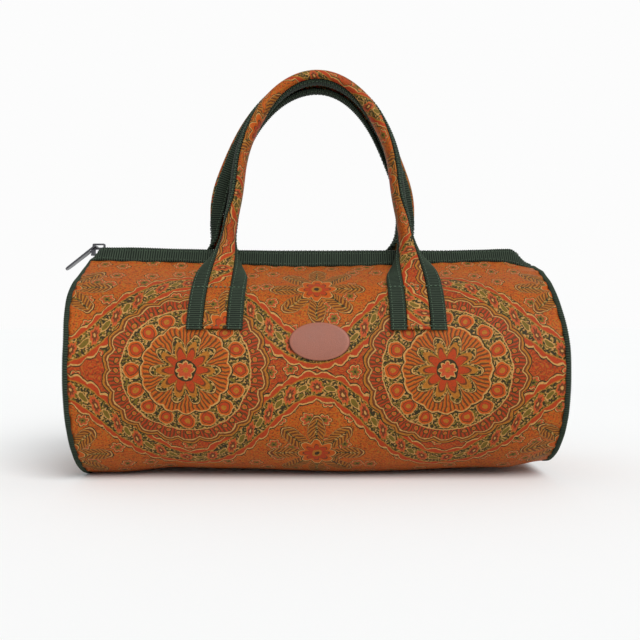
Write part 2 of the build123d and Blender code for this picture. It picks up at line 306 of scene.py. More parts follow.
def soft_lift(x, girth):
    """How far the stuffed cloth stands out at a place, in millimetres."""
    from_end = body_half - np.abs(x)
    from_top = np.minimum(girth, body_girth.length - girth)
    end_pucker = 0.4 * np.exp(-from_end / 7) * np.sin(girth / 1.9 + 2 * np.sin(girth / 31))
    top_pucker = 0.3 * np.exp(-from_top / 6) * np.sin(x / 2.2 + 1.5 * np.sin(x / 37))
    calm = (1 - np.exp(-from_end / 14)) * (1 - np.exp(-from_top / 14))
    roll = 0.7 * np.sin(x / 23 + 0.6) * np.sin(girth / 29 + 1.1) + 0.5 * np.sin(x / 41 - girth / 37)
    return end_pucker + top_pucker + calm * roll


def ease(share):
    """Smooth step from zero to one."""
    share = np.clip(share, 0, 1)
    return share * share * (3 - 2 * share)


def base_rise(x):
    """How far the base arches up off the floor, in millimetres: most at the right end."""
    start = 1 / (1 + np.exp(-(x + 116) / 8))
    hump = 1.5 * np.exp(-(((x + 95) / 20) ** 2))
    return 1.7 * start + hump + 0.8 * ease((x - 60) / 60) + 5.6 * ease((x - 120) / 32)


def settle(points):
    """Lets the stuffed bag give: the base arches, the shoulders lean left, the right peak is pressed."""
    x, y, z = np.moveaxis(np.asarray(points), -1, 0)
    lean = (3.1 - 0.5 * np.sign(x)) * ease((np.abs(x) - 90) / 55) * ease((z - 82) / 42)
    press = 0.5 * ease((x - 133) / 16) * np.clip(z - 133, 0, None)
    height = z - press + base_rise(x) * np.exp(-((z / 42) ** 2))
    return np.stack([x - lean, y, np.maximum(height, 0.3)], axis=-1)


def top_dip(x):
    """How far the ridge sags between its ends, in millimetres."""
    return 2.3 * np.clip(1 - (x / 124) ** 2, 0, None) + 1.1 * ease((x - 40) / 60)


def seam_dip(x):
    """How far the seam below the ridge sags in the middle; it rises a little towards the ends."""
    return 1.6 - 3.4 * ease(np.abs(x) / 118) + 1.8 * ease((x - 122) / 20) - 0.7 * ease((-x - 110) / 30)


def bag_surface(x, girth, lift=0.0):
    """Points on the stuffed body, x along the bag and girth down from the front seam."""
    x, girth = np.broadcast_arrays(np.asarray(x, float), np.asarray(girth, float))
    (y, z), (out_y, out_z) = body_girth.read(girth)
    from_top = np.minimum(girth, body_girth.length - girth)
    out = lift + soft_lift(x, girth)
    drop = seam_dip(x) * np.exp(-from_top / 22)
    return settle(np.stack([x, y + out_y * out, z + out_z * out - drop], axis=-1))


def surface_out(girth):
    """Outward direction of the body at a distance down its girth."""
    _, (out_y, out_z) = body_girth.read(np.asarray(girth, float))
    return np.stack([np.zeros_like(out_y), out_y, out_z], axis=-1)


def link(name, data):
    """Puts a mesh, a light or a camera in the scene."""
    thing = bpy.data.objects.new(name, data)
    bpy.context.scene.collection.objects.link(thing)
    return thing


def add_object(name, mesh, *materials):
    """Puts a mesh in the scene with its materials."""
    piece = link(name, mesh)
    for material in materials:
        mesh.materials.append(material)
    return piece


def lattice_piece(name, rows, around=False, endless=False, capped=False, flip=False, marks=None, uv=None):
    """Smooth mesh through rows of points in millimetres; marks are point values, uv is in metres."""
    rows = np.asarray(rows)
    count, across = rows.shape[:2]
    index = np.arange(count * across).reshape(count, across)
    if around:
        index = np.concatenate([index, index[:, :1]], axis=1)
    if endless:
        index = np.concatenate([index, index[:1]], axis=0)
    corners = [index[:-1, :-1], index[:-1, 1:], index[1:, 1:], index[1:, :-1]]
    faces = np.stack(corners[::-1] if flip else corners, axis=-1).reshape(-1, 4).tolist()
    if capped:
        faces += [list(range(across))[::-1], [(count - 1) * across + place for place in range(across)]]
    mesh = bpy.data.meshes.new(name)
    mesh.from_pydata((rows.reshape(-1, 3) * MM).tolist(), [], faces)
    for mark, values in (marks or {}).items():
        layer = mesh.attributes.new(mark, "FLOAT", "POINT")
        layer.data.foreach_set("value", np.broadcast_to(values, (count, across)).astype("f").ravel())
    if uv is not None:
        corner_points = np.empty(len(mesh.loops), "i")
        mesh.loops.foreach_get("vertex_index", corner_points)
        flat = np.asarray(uv).reshape(-1, 2)[corner_points]
        mesh.uv_layers.new(name="cloth").data.foreach_set("uv", flat.astype("f").ravel())
    mesh.shade_smooth()
    mesh.update()
    return mesh


def close_up(mesh, merge=0.0, flatten=0.0, outwards=True):
    """Merges doubles, flattens small angles and turns all faces of a closed mesh outwards, as asked."""
    form = bmesh.new()
    form.from_mesh(mesh)
    if merge:
        bmesh.ops.remove_doubles(form, verts=form.verts, dist=merge)
    if flatten:
        bmesh.ops.dissolve_limit(form, angle_limit=flatten, verts=form.verts, edges=form.edges)
    if outwards:
        bmesh.ops.recalc_face_normals(form, faces=form.faces)
    form.to_mesh(mesh)
    form.free()
    return mesh


def finish_piece(piece, slot, *nodes, body="bag"):
    """Rides a piece on its body and lets it stand for its solids."""
    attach(piece, body)
    if nodes:
        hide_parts(*nodes)
    return piece


def closed_piece(name, node, slot, material, rows, merge=0.0, **shape):
    """A closed piece through rows of points in millimetres, which stands for one solid."""
    mesh = close_up(lattice_piece(name, rows, around=True, **shape), merge)
    return finish_piece(add_object(name, mesh, material), slot, node)


class Nodes:
    """Adds nodes to a tree and joins their sockets, in few words."""

    def __init__(self, tree):
        self.tree = tree

    def feed(self, socket, value):
        """Links a socket, or sets its value where the value is plain."""
        if isinstance(value, Term):
            value = value.socket
        if isinstance(value, bpy.types.NodeSocket):
            self.tree.links.new(value, socket)
        else:
            socket.default_value = value

    def add(self, kind, inputs=None, **choices):
        """Adds a node with its choices and feeds its inputs, given by name or number."""
        node = self.tree.nodes.new(kind)
        for name, choice in choices.items():
            setattr(node, name, choice)
        for name, value in (inputs or {}).items():
            self.feed(node.inputs[name], value)
        return node

    def out(self, kind, inputs=None, **choices):
        """First output of a new node."""
        return self.add(kind, inputs, **choices).outputs[0]

    def maths(self, operation, *values):
        """A term worked out from other terms and numbers."""
        return Term(self, self.out("ShaderNodeMath", dict(enumerate(values)), operation=operation))

    def vector(self, operation, first, second):
        """A vector worked out from two others, or from one and its scale."""
        key = "Scale" if operation == "SCALE" else 1
        return self.out("ShaderNodeVectorMath", {0: first, key: second}, operation=operation)

    def split(self, place):
        """First two coordinates of a place in metres, as terms in millimetres."""
        parts = self.add("ShaderNodeSeparateXYZ", {0: place}).outputs
        return [Term(self, parts[axis]) / MM for axis in (0, 1)]


def term_method(operation, swapped=False):
    """A method of Term for one operation, with its two numbers swapped where asked."""

    def work(self, *other):
        return self.nodes.maths(operation, *((*other, self) if swapped else (self, *other)))

    return work


class Term:
    """A number in a node tree, so that patterns read as sums and products."""

    def __init__(self, nodes, socket):
        self.nodes, self.socket = nodes, socket

    __add__, __radd__ = term_method("ADD"), term_method("ADD", swapped=True)
    __sub__, __rsub__ = term_method("SUBTRACT"), term_method("SUBTRACT", swapped=True)
    __mul__, __rmul__ = term_method("MULTIPLY"), term_method("MULTIPLY", swapped=True)
    __truediv__, __pow__ = term_method("DIVIDE"), term_method("POWER")
    __lt__, __gt__ = term_method("LESS_THAN"), term_method("GREATER_THAN")
    __abs__, fract = term_method("ABSOLUTE"), term_method("FRACT")
    sine, cosine = term_method("SINE"), term_method("COSINE")

    def wrap(self, period):
        """The same place in a repeat that runs from minus to plus half the period."""
        return ((self / period + 0.5).fract() - 0.5) * period


def polar(across, up):
    """Radius and angle of a flat place."""
    maths = across.nodes.maths
    return maths("SQRT", across * across + up * up), maths("ARCTAN2", up, across)


class Paint:
    """A colour that further colours are laid over, each where its mask is one."""

    def __init__(self, nodes, colour):
        self.nodes, self.top = nodes, (*colour, 1.0)

    def lay(self, colour, mask):
        """Lays a colour over those below."""
        mix = self.nodes.add("ShaderNodeMix", {0: mask, 6: self.top, 7: (*colour, 1.0)}, data_type="RGBA")
        self.top = mix.outputs[2]


def geometry_tree(make, **kinds):
    """A tree named after its maker, with geometry and a material in, and further inputs by name and kind."""
    tree = bpy.data.node_groups.new(make.__name__, "GeometryNodeTree")
    tree.interface.new_socket("geometry", in_out="OUTPUT", socket_type="NodeSocketGeometry")
    for label, kind in {"geometry": "Geometry", "material": "Material", **kinds}.items():
        tree.interface.new_socket(label, in_out="INPUT", socket_type=f"NodeSocket{kind}")
    nodes = Nodes(tree)
    return nodes, nodes.add("NodeGroupInput").outputs


def end_tree(nodes, geometry, material):
    """Ends a tree: instances made real, then the material."""
    real = nodes.out("GeometryNodeRealizeInstances", {"Geometry": geometry})
    coated = nodes.out("GeometryNodeSetMaterial", {"Geometry": real, "Material": material})
    nodes.add("NodeGroupOutput", {0: coated})
    return nodes.tree


def mark_field(nodes, name, kind="FLOAT"):
    """A point value that the mesh carries, as a field."""
    return nodes.out("GeometryNodeInputNamedAttribute", {"Name": name}, data_type=kind)


def rib_tree():
    """Raises ribs across a tape, by the distance along it."""
    nodes, inlet = geometry_tree(rib_tree, pitch="Float", depth="Float")
    along = Term(nodes, mark_field(nodes, "along"))
    height = (along / inlet["pitch"] * (2 * pi)).cosine() * inlet["depth"]
    offset = nodes.vector("SCALE", nodes.out("GeometryNodeInputNormal"), height)
    raised = nodes.out("GeometryNodeSetPosition", {"Geometry": inlet["geometry"], "Offset": offset})
    return end_tree(nodes, raised, inlet["material"])


def stitch_tree():
    """Lays one stitch after another along lines of edges, flat on the cloth below."""
    nodes, inlet = geometry_tree(stitch_tree, pitch="Float", length="Float", width="Float")
    line = nodes.out("GeometryNodeMeshToCurve", {"Mesh": inlet["geometry"]})
    spots = nodes.add("GeometryNodeCurveToPoints", {"Curve": line, "Length": inlet["pitch"]}, mode="LENGTH")
    align = "FunctionNodeAlignRotationToVector"
    ahead = nodes.out(align, {"Vector": spots.outputs["Tangent"]}, axis="X")
    out = mark_field(nodes, "out", "FLOAT_VECTOR")
    upright = nodes.out(align, {"Rotation": ahead, "Vector": out}, axis="Z", pivot_axis="X")
    thread = nodes.out("GeometryNodeMeshUVSphere", {"Segments": 6, "Rings": 5, "Radius": 0.5})
    size = nodes.out("ShaderNodeCombineXYZ", {0: inlet["length"], 1: inlet["width"], 2: inlet["width"]})
    row = nodes.out(
        "GeometryNodeInstanceOnPoints",
        {"Points": spots.outputs[0], "Instance": thread, "Rotation": upright, "Scale": size},
    )
    return end_tree(nodes, row, inlet["material"])


def tooth_tree():
    """Sets one tooth after another along a row: a foot on the tape and a round head."""
    vectors = dict.fromkeys(("start", "pitch", "foot", "head_place", "head_size"), "Vector")
    nodes, inlet = geometry_tree(tooth_tree, count="Int", **vectors)
    foot = nodes.out("GeometryNodeMeshCube", {"Size": inlet["foot"]})
    head = nodes.out("GeometryNodeMeshUVSphere", {"Segments": 8, "Rings": 6, "Radius": 0.5})
    placed = nodes.out(
        "GeometryNodeTransform",
        {"Geometry": head, "Translation": inlet["head_place"], "Scale": inlet["head_size"]},
    )
    tooth = nodes.add("GeometryNodeJoinGeometry", {0: foot})
    nodes.feed(tooth.inputs[0], placed)
    row = nodes.out(
        "GeometryNodeMeshLine",
        {"Count": inlet["count"], "Start Location": inlet["start"], "Offset": inlet["pitch"]},
    )
    teeth = nodes.out("GeometryNodeInstanceOnPoints", {"Points": row, "Instance": tooth.outputs[0]})
    return end_tree(nodes, teeth, inlet["material"])


def grow(piece, make_tree, **inputs):
    """Runs a geometry tree on a piece and keeps the result as its plain mesh."""
    tree = bpy.data.node_groups.get(make_tree.__name__) or make_tree()
    modifier = piece.modifiers.new(tree.name, "NODES")
    modifier.node_group = tree
    for item in tree.interface.items_tree:
        if item.name in inputs:
            modifier[item.identifier] = inputs[item.name]
    graph = bpy.context.evaluated_depsgraph_get()
    mesh = bpy.data.meshes.new_from_object(piece.evaluated_get(graph))
    piece.modifiers.clear()
    piece.data = mesh
    mesh.shade_smooth()
    return piece


def tape_piece(name, node, rows, along, endless=False):
    """A ribbed tape through rows of points in millimetres, with its distance along in metres."""
    tape = settings().tape
    marks = {"along": along[:, None]}
    mesh = lattice_piece(name, rows, around=True, endless=endless, capped=not endless, marks=marks)
    piece = add_object(name, close_up(mesh))
    grow(piece, rib_tree, pitch=tape.rib_pitch, depth=tape.rib_depth, material=ribbed_tape_material())
    return finish_piece(piece, "ribbed_tape", node)


def stitched(name, rows):
    """A piece of stitches along rows of (points, outward directions), in millimetres."""
    points, outs, edges = [], [], []
    for line, out in rows:
        first = sum(len(part) for part in points)
        points.append(np.asarray(line))
        outs.append(np.broadcast_to(out, np.asarray(line).shape))
        edges += [(first + step, first + step + 1) for step in range(len(line) - 1)]
    mesh = bpy.data.meshes.new(name)
    mesh.from_pydata((np.concatenate(points) * MM).tolist(), edges, [])
    layer = mesh.attributes.new("out", "FLOAT_VECTOR", "POINT")
    layer.data.foreach_set("vector", np.concatenate(outs).astype("f").ravel())
    tape = settings().tape
    sizes = {"pitch": tape.stitch_pitch, "length": tape.stitch_length, "width": tape.stitch_width}
    piece = grow(add_object(name, mesh), stitch_tree, material=thread_material(), **sizes)
    return finish_piece(piece, "ribbed_tape")


def finish(**constants):
    """Makes a material once, named after its maker, with the constants on the shader's own sockets."""

    def dress(make):
        def ask():
            material = bpy.data.materials.get(make.__name__)
            if material is None:
                material = bpy.data.materials.new(make.__name__)
                material.use_nodes = True
                skin = material.node_tree.nodes["Principled BSDF"].inputs
                for socket, value in constants.items():
                    skin[socket.replace("_", " ")].default_value = value
                make(Nodes(material.node_tree), skin)
            return material

        return ask

    return dress


def object_place(nodes):
    """Object coordinates, in metres."""
    return nodes.add("ShaderNodeTexCoord").outputs["Object"]


def noise(nodes, place, scale, detail=3.0):
    """A noise value from zero to one, as a term."""
    return Term(nodes, nodes.out("ShaderNodeTexNoise", {"Vector": place, "Scale": scale, "Detail": detail}))


def mark_value(nodes, name):
    """A point value that the mesh carries, as a term of a material."""
    return Term(nodes, nodes.add("ShaderNodeAttribute", attribute_name=name).outputs["Fac"])


def coat(nodes, skin, under, colour, mask, *more):
    """Colours a shader: a colour laid over an under-colour where its mask is one, and more of them after it."""
    paint = Paint(nodes, under)
    for layer in ((colour, mask), *more):
        paint.lay(*layer)
    nodes.feed(skin["Base Color"], paint.top)


def toned(colour, share):
    """A colour made darker, or lighter where the share is over one."""
    return [min(value * share, 1.0) for value in colour]


def relief(nodes, skin, height, depth, strength):
    """Bumps a shader by a height from zero to one and a depth in metres."""
    bump = nodes.out("ShaderNodeBump", {"Strength": strength, "Distance": depth, "Height": height})
    nodes.feed(skin["Normal"], bump)


class Print(Paint):
    """The printed ornament on woven cloth, in the cloth's colours by their names."""

    def __init__(self, nodes, cloth, weave):
        super().__init__(nodes, cloth.ground)
        self.cloth, self.weave = cloth, weave

    def lay(self, name, mask):
        """Lays a colour of the cloth over those below."""
        super().lay(getattr(self.cloth, name), mask)

    def below(self, term, **limits):
        """Lays colours in turn, each where a term is below its limit."""
        for name, limit in limits.items():
            self.lay(name, term < limit)

    def blooms(self, radius, turn, petals, depth, **reaches):
        """Lays flowers over each other, each with its colour's name and its reach."""
        for name, reach in reaches.items():
            self.lay(name, flower(radius, turn, petals, reach, depth) < 0)

    def grains(self, scale, cut):
        """Scattered fine specks: one where a grain stands above the cut."""
        return noise(self.nodes, self.weave, scale, 0.0) > cut

    def pepper(self, mask):
        """A dark field peppered with cream and olive specks."""
        self.lay("dark", mask)
        self.lay("olive", self.grains(640.0, 0.53) * mask)
        self.lay("cream", self.grains(780.0, 0.6) * mask * 0.85)


def flower(radius, turn, petals, reach, depth=0.3):
    """How far a place is inside a round flower: below zero inside its petals."""
    return radius - reach * ((1 - depth) + depth * abs((turn * (petals / 2)).cosine()))


def lay_ground(paint, inner):
    """Orange and rust fields filled with fine winding lines, specks and small scattered flowers."""
    nodes, weave = paint.nodes, paint.weave
    paint.lay("rust", inner)
    lines = abs((noise(nodes, weave, 190.0, 1.0) * 6.5).fract() - 0.5)
    paint.lay("ochre", (lines < 0.15) * (0.85 - 0.3 * inner))
    paint.lay("brown", (lines > 0.43) * 0.6)
    paint.lay("dark", paint.grains(900.0, 0.66) * 0.55)
    cells = nodes.add("ShaderNodeTexVoronoi", {"Vector": weave, "Scale": 62.0, "Randomness": 0.7})
    cells.voronoi_dimensions = "2D"
    radius, turn = polar(*nodes.split(nodes.vector("SUBTRACT", weave, cells.outputs["Position"])))
    paint.below(flower(radius, turn, 6, 4.4), dark=0.5, cream=0.0, coral=-0.6)
    paint.blooms(radius, turn, 6, 0.5, olive=2.6)
    paint.below(radius, dark=0.7)


def lay_garland(paint, from_line, along):
    """A winding band with scalloped cream edges, flowers and leaves on a dark peppered ground."""
    off, repeat = abs(from_line), 17.0
    paint.below(off - 1.9 * abs((along * (pi / 11.0)).sine()), dark=8.6, cream=8.0, rust=7.1)
    paint.below(off, ochre=6.1)
    paint.pepper(off < 5.4)
    radius, turn = polar(along.wrap(repeat), from_line)
    paint.below(flower(radius, turn, 8, 4.5, 0.26), ochre=0.3, coral=-0.3)
    paint.blooms(radius, turn, 8, 0.4, brown=2.9)
    paint.below(radius, cream=0.9)
    leaf = (along + repeat / 2).wrap(repeat)
    paint.below((leaf / 3.8) ** 2.0 + (from_line / 2.0) ** 2.0, cream=1.0, olive=0.6)


def lay_medallion(paint, across, up):
    """A large round medallion of scalloped rings, petals and a flower."""
    radius, turn = polar(across, up)

    def around(count, middle):
        return (turn * middle).wrap(2 * pi * middle / count)

    def rays(count):
        return (turn * (count / (2 * pi))).fract()

    rim = radius - 2.6 * abs((turn * 11.0).sine())
    paint.below(rim, dark=48.3, ochre=47.6, brown=46.3)
    paint.lay("cream", abs(rim - 44.7) < 0.4)
    paint.lay("rust", (rays(130) < 0.5) * (rim < 43.9))
    paint.below(polar(around(44, 41.6), radius - 41.6)[0], dark=1.9, ochre=1.4, coral=0.8)
    paint.below(radius, cream=39.2)
    paint.pepper(radius < 38.5)
    petal = (around(16, 32.5) / 5.0) ** 2.0 + ((radius - 32.3) / 5.4) ** 2.0
    paint.below(petal, cream=1.0, ground=0.83, brown=0.5, rust=0.36, ochre=0.1)
    scallop = radius - 1.7 * abs((turn * 8.0).cosine())
    paint.below(scallop, dark=26.7, cream=26.0, ground=25.1)
    feather = rays(60)
    paint.lay("brown", (feather < 0.42) * (scallop < 24.6))
    paint.lay("ochre", (feather > 0.8) * (scallop < 24.6))
    inner = flower(radius, turn, 10, 21.5, 0.42)
    paint.below(inner, dark=0.6, cream=0.0)
    paint.pepper(inner < -0.8)
    paint.blooms(radius, turn, 10, 0.5, ochre=17.5, brown=14.4, rust=13.0)
    paint.below(radius, dark=6.6)
    paint.blooms(radius, turn, 8, 0.3, cream=5.8, coral=4.9)
    paint.below(radius, ochre=1.6)


def lay_rosette(paint, across, up):
    """A star of eight veined leaves round a flower, in the fields between the medallions."""
    radius, turn = polar(across, up)
    swing = abs((turn * 4.0).sine())
    leaf = radius - 29.0 * abs((turn * 4.0).cosine()) ** 0.55
    paint.below(leaf, dark=1.2, cream=0.5, brown=-0.3)
    paint.lay("ochre", ((radius / 2.4 + swing * 1.6).fract() < 0.5) * (leaf < -0.9))
    paint.pepper((swing * radius < 2.6) * (leaf < -2.6))
    paint.below(flower(radius, turn, 8, 12.5), dark=0.7, cream=0.0, ground=-0.8)
    paint.blooms(radius, turn, 8, 0.45, brown=8.6, rust=7.6)
    paint.below(radius, ochre=3.4, dark=1.7)


@finish(Specular_IOR_Level=0.1)
def printed_cloth_material(nodes, skin):
    """Woven cloth with a printed ornament: medallions in a net of winding garlands."""
    flat = nodes.out("ShaderNodeUVMap", uv_map="cloth")
    drift = nodes.add("ShaderNodeTexNoise", {"Vector": flat, "Scale": 150.0, "Detail": 2.0}).outputs["Color"]
    drift = nodes.vector("SCALE", nodes.vector("SUBTRACT", drift, (0.5, 0.5, 0.5)), 0.0034)
    weave = nodes.vector("ADD", flat, drift)
    u, v = nodes.split(weave)
    swing, thread = 28.0, 0.9
    phase = u * (2 * pi / print_column)
    up = (v - medallion_down).wrap(print_row)
    slope = phase.sine() * (swing * 2 * pi / print_column)
    from_line = (abs(up) - 38.0 + phase.cosine() * swing) / nodes.maths("SQRT", 1 + slope * slope)
    paint = Print(nodes, settings().cloth, weave)
    lay_ground(paint, from_line < 0)
    lay_rosette(paint, u.wrap(print_column), (v - rosette_down).wrap(print_row / 2))
    lay_garland(paint, from_line, u * 1.26 - (phase * 2.0).sine() * 3.1)
    lay_medallion(paint, (u - print_column / 2).wrap(print_column), up)
    paint.lay("brown", paint.grains(1000.0, 0.62) * 0.35)
    cross = (u * (2 * pi / thread)).sine() * (v * (2 * pi / thread)).sine()
    shade = 0.9 + 0.07 * cross + 0.24 * (noise(nodes, weave, 21.0) - 0.5)
    tint = nodes.out("ShaderNodeCombineColor", dict.fromkeys(range(3), shade))
    fade = nodes.add("ShaderNodeMix", {0: 1.0, 6: paint.top, 7: tint}, data_type="RGBA", blend_type="MULTIPLY")
    nodes.feed(skin["Base Color"], fade.outputs[2])
    nodes.feed(skin["Roughness"], 0.5 + 0.16 * noise(nodes, weave, 60.0))
    relief(nodes, skin, cross * 0.5 + 0.5 + noise(nodes, weave, 900.0) * 0.4, 0.00006, 0.5)


@finish(Specular_IOR_Level=0.12)
def ribbed_tape_material(nodes, skin):
    """Ribbed binding tape: crests in the tape's colour and painted shade in the valleys between, with a fine
    woven grain.
    """
    tape = settings().tape
    crest = (mark_value(nodes, "along") * (2 * pi / tape.rib_pitch)).cosine() * 0.5 + 0.5
    place = object_place(nodes)
    worn = noise(nodes, place, 140.0)
    # Painted shade: the valley colour darkens the tape between the ribs, wherever the crest mask falls towards
    # zero
    coat(nodes, skin, tape.valley_shade, tape.crest, crest * (0.45 + 0.75 * worn))
    nodes.feed(skin["Roughness"], 0.6 + 0.25 * worn)
    relief(nodes, skin, noise(nodes, place, 1900.0, 2.0), 0.00009, 0.6)


def yarn(nodes, skin, colour, scale, deep, gain, bump):
    """Plain yarn: one colour, deeper between fine grains."""
    grain = noise(nodes, object_place(nodes), scale)
    coat(nodes, skin, toned(colour, deep), colour, grain * gain)
    relief(nodes, skin, grain, 0.0001, bump)


@finish(Roughness=0.6, Specular_IOR_Level=0.2)
def thread_material(nodes, skin):
    """Twisted sewing thread."""
    yarn(nodes, skin, settings().tape.thread, 1500.0, 0.62, 1.3, 0.5)


@finish(Roughness=0.8)
def lining_material(nodes, skin):
    """Plain woven lining."""
    yarn(nodes, skin, settings().cloth.lining, 700.0, 0.6, 1.4, 0.4)


@finish(Roughness=0.75)
def zip_cloth_material(nodes, skin):
    """Herringbone tape beside the teeth."""
    colour = settings().fittings.zip_cloth
    x, y = nodes.split(object_place(nodes))
    rib = (x * (2 * pi / 0.8) + abs(y.wrap(1.6)) * 6.0).sine() * 0.5 + 0.5
    coat(nodes, skin, toned(colour, 0.5), colour, rib)
    relief(nodes, skin, rib, 0.0001, 0.7)


def plated(nodes, skin, colour, roughness):
    """Plated metal with fine rubbing marks and a little tarnish."""
    place = object_place(nodes)
    coat(nodes, skin, toned(colour, 0.7), colour, noise(nodes, place, 320.0) * 1.5)
    rubbed = nodes.out("ShaderNodeMapping", {"Vector": place, "Scale": (160.0, 2600.0, 900.0)})
    marks = noise(nodes, rubbed, 1.0, 2.0)
    nodes.feed(skin["Roughness"], roughness - 0.1 + 0.22 * marks)
    relief(nodes, skin, marks, 0.00002, 0.5)


@finish(Metallic=1.0)
def slider_metal_material(nodes, skin):
    """Dark nickel of the slider and puller."""
    plated(nodes, skin, settings().fittings.metal, 0.3)


@finish(Metallic=1.0)
def zip_metal_material(nodes, skin):
    """Lighter metal of the teeth and stops."""
    plated(nodes, skin, settings().fittings.teeth, 0.38)


@finish(Specular_IOR_Level=0.3)
def patch_leather_material(nodes, skin):
    """Grained leather, with a painted highlight where its edge rounds over and painted shade on the cut side.
    """
    colour = settings().fittings.leather
    place = object_place(nodes)
    cells = nodes.out("ShaderNodeTexVoronoi", {"Vector": place, "Scale": 1300.0}, feature="DISTANCE_TO_EDGE")
    pores = nodes.maths("MINIMUM", Term(nodes, cells) * 4.0, 1.0)
    cloud = noise(nodes, place, 130.0)
    rim = mark_value(nodes, "rim")
    smooth = 0.25 + 0.4 * pores + 0.6 * (cloud - 0.3)
    # Painted light on the rim: a lighter tone as a painted highlight on the rounded edge, a darker tone as
    # painted shade on the cut side
    edges = ((toned(colour, 1.12), rim * 0.6), (toned(colour, 0.3), rim * -0.9))
    coat(nodes, skin, toned(colour, 0.68), colour, smooth, *edges)
    nodes.feed(skin["Roughness"], 0.36 + 0.2 * cloud)
    relief(nodes, skin, pores, 0.00007, 0.6)


@finish(Roughness=0.9, Specular_IOR_Level=0.0)
def floor_white(nodes, skin):
    """Matt white floor, a little cool against the bag's warm light."""
    coat(nodes, skin, (0.91, 0.92, 0.92), (0.93, 0.94, 0.94), noise(nodes, object_place(nodes), 3.0))


def cloth_shell(name, mesh, node):
    """Printed cloth with a lining inside, from the mesh of its outer face."""
    piece = add_object(name, mesh, printed_cloth_material(), lining_material())
    shell = piece.modifiers.new("thickness", "SOLIDIFY")
    shell.thickness, shell.offset, shell.material_offset = settings().cloth.thickness, -1, 1
    return finish_piece(piece, "printed_cloth", node)


class BAG_OT_body_cloth(bpy.types.Operator):
    """Makes the printed cloth that runs down the front, under the base and up the back"""

    bl_idname = "bag.body_cloth"
    bl_label = "Body cloth"

    def execute(self, context):
        x = np.linspace(-body_half, body_half, 150)[:, None]
        girth = np.linspace(0, body_girth.length, 217)
        uv = np.stack(np.broadcast_arrays(x, girth), axis=-1) * MM
        mesh = lattice_piece("body_cloth", bag_surface(x, girth), uv=uv)
        piece = cloth_shell("body_cloth", mesh, "body_panel")
        return {"FINISHED"}


class BAG_OT_end_cloths(bpy.types.Operator):
    """Makes the two round end panels, slightly bulged by the stuffing"""

    bl_idname = "bag.end_cloths"
    bl_label = "End cloths"

    def execute(self, context):
        cloth = settings().cloth
        middle_z = belly_height + 4.0
        distance = np.linspace(0, end_girth.length, 241)[:-1]
        (y, z), (out_y, out_z) = end_girth.read(distance)
        inset = cloth.thickness / MM + 0.1
        y, z = y - out_y * inset, z - out_z * inset
        size = (2 * max(y) * MM, (max(z) - min(z)) * MM)
        area = abs(np.sum(y * np.roll(z, -1) - z * np.roll(y, -1))) / 2 * MM * MM
        shares = np.linspace(1, 0, 34)[:, None]
        flat_y, flat_z = shares * y, middle_z + shares * (z - middle_z)
        pucker = 1.4 * (1 - shares) * np.sin(distance / 1.9) * np.exp(-(1 - shares) / 0.09)
        bulge = cloth.bulge / MM * (1 - shares**2) ** 0.8 * (1 + 0.08 * np.sin(distance / 23))
        for side, name in ((-1, "left"), (1, "right")):
            rows = settle(np.stack([side * (body_half + bulge + pucker), flat_y, flat_z], axis=-1))
            uv = np.stack([print_column / 2 + side * flat_y, medallion_down + middle_z - flat_z], axis=-1) * MM
            mesh = lattice_piece(f"{name}_end_cloth", rows, around=True, flip=side < 0, uv=uv)
            piece = cloth_shell(f"{name}_end_cloth", close_up(mesh, weld, outwards=False), f"{name}_end_panel")
        return {"FINISHED"}


def folded_profile(width, depth, radius, thickness):
    """Section of a tape folded over an edge: out along the top, round the fold and back below."""

    def leaf(inset):
        bend = [
            (width - radius + (radius - inset) * cos(turn), radius - (radius - inset) * sin(turn))
            for turn in np.linspace(pi / 2, 0, 4)
        ]
        upper = [(0.0, inset), (width / 2, inset)] + bend
        return upper + [(x, depth - y) for x, y in reversed(upper)]

    return leaf(0.0) + leaf(thickness)[::-1]


def rib_steps(length):
    """Number of steps along a tape, four for each rib, and their distances in metres."""
    pitch = settings().tape.rib_pitch
    count = int(round(length * MM / pitch)) * 4
    return count, np.arange(count) / 4 * pitch


class BAG_OT_end_tapes(bpy.types.Operator):
    """Makes the folded ribbed tape round both end seams, with its stitches"""

    bl_idname = "bag.end_tapes"
    bl_label = "End tapes"

    def execute(self, context):
        width = half_length - body_half
        depth, proud = 6.0, 0.45
        profile = folded_profile(width, depth + proud, radius=1.3, thickness=0.9)
        thread_depth = 4.4
        count, along = rib_steps(end_girth.length)
        distance = np.linspace(0, end_girth.length, count, endpoint=False)
        (y, z), (out_y, out_z) = end_girth.read(distance)
        wave = 0.09 * np.sin(distance / 3.1) + 0.072 * np.sin(distance / 7.3 + 1)
        rows_of_thread = []
        for side, name in ((-1, "left"), (1, "right")):

            def ring(across, reach):
                x = np.full(count, side * (body_half + across))
                return settle(np.stack([x, y + out_y * reach, z + out_z * reach], axis=-1))

            rows = np.stack([ring(across, proud - deep + wave) for across, deep in profile], axis=1)
            piece = tape_piece(f"{name}_end_tape", f"{name}_end_binding", rows, along, endless=True)
            rows_of_thread.append((ring(width + 0.05, -thread_depth), (side, 0, 0)))
        stitched("end_tape_stitches", rows_of_thread)
        return {"FINISHED"}


def band_top(x):
    """Top edge of a zip band: its distance from the middle plane and its height."""
    closed = np.clip((x + body_half - closed_run) / -closed_run, 0, 1)
    opened = np.clip((x - body_half + open_run) / open_run, 0, 1)
    narrowing = ease(opened)
    height = ridge_height - closed_drop * closed**1.4 - open_drop * (0.55 * narrowing + 0.45 * opened)
    return zip_mouth / 2 * (1 - 0.9 * narrowing), height - top_dip(x)


